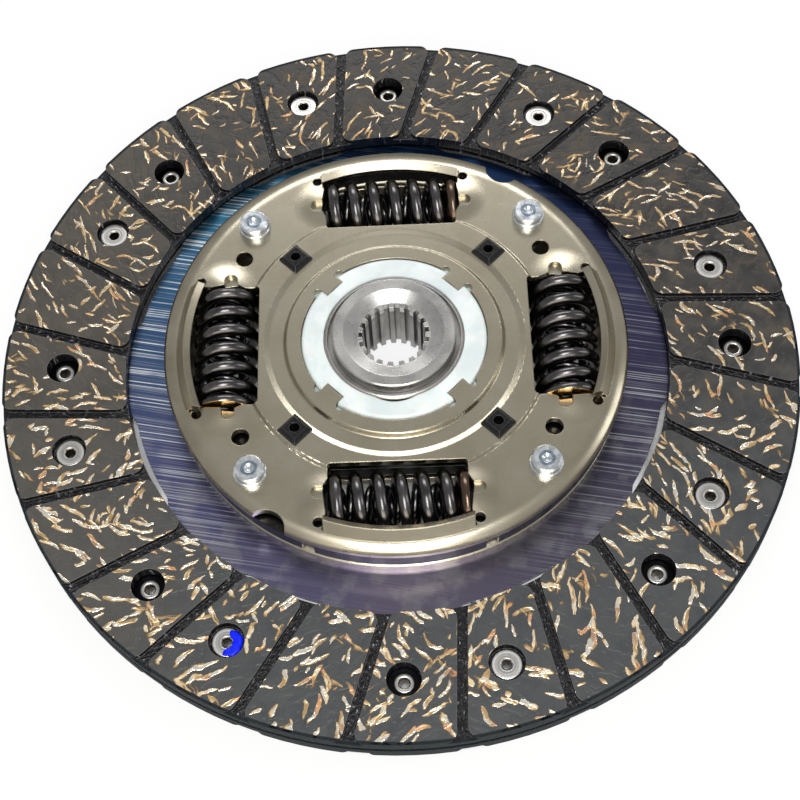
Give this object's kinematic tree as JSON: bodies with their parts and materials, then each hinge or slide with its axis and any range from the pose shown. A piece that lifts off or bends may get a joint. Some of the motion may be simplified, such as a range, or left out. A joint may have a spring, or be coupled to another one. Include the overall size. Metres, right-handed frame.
{
  "type": "clutch disc",
  "caption": "Clutch disc with two riveted slotted friction facings on a waved cushion disc, spring torsion damper with retainer plate and splined hub.",
  "frame": {"origin": "on the disc's axis at the rear friction face", "axes": "+Z along the hub's axis from the rear friction face towards the retainer plate; spring windows lie on +X, +Y, -X and -Y"},
  "size_m": [0.2, 0.2, 0.0203],
  "materials": {
    "friction_lining": "moulded woven-fibre friction material, ground flat",
    "blued_spring_steel": "blued and ground sheet",
    "nickel_plate": "satin nickel-coloured coating",
    "rivet_metal": "zinc-plated steel, as rolled",
    "hub_steel": "sintered, machined ends",
    "flange_steel": "dark phosphated sheet",
    "spring_steel": "oiled dark spring wire",
    "pin_steel": "bright zinc",
    "nylon": "natural translucent nylon",
    "black_plastic": "black moulded plastic",
    "washer_material": "friction washer"
  },
  "bodies": {
    "disc": {"front_facing": "friction_lining", "rear_facing": "friction_lining", "cushion_disc": "blued_spring_steel", "front_rivets": "rivet_metal", "rear_rivets": "rivet_metal", "retainer_plate": "nickel_plate", "disc_plate": "nickel_plate", "carrier_rivets": "pin_steel", "friction_ring": "black_plastic", "preload_spring": "blued_spring_steel", "front_bush": "nylon", "rear_bush": "nylon", "friction_washer": "washer_material", "damper_spring_1": "spring_steel", "inner_spring_1": "spring_steel", "stop_pin_1": "pin_steel", "damper_spring_2": "spring_steel", "inner_spring_2": "spring_steel", "stop_pin_2": "pin_steel", "damper_spring_3": "spring_steel", "inner_spring_3": "spring_steel", "stop_pin_3": "pin_steel", "damper_spring_4": "spring_steel", "inner_spring_4": "spring_steel", "stop_pin_4": "pin_steel"},
    "hub_body": {"hub": "hub_steel", "hub_flange": "flange_steel"}
  },
  "joints": [
    {"name": "hub_twist", "type": "hinge", "parent": "disc", "child": "hub_body", "pos_m": [0, 0, 0.01055], "axis": [0, 0, 1], "range_deg": [-8, 8], "stiffness_Nm_per_rad": 800, "deforming": ["damper_spring_1", "damper_spring_2", "damper_spring_3", "damper_spring_4", "inner_spring_1", "inner_spring_2", "inner_spring_3", "inner_spring_4"]}
  ]
}
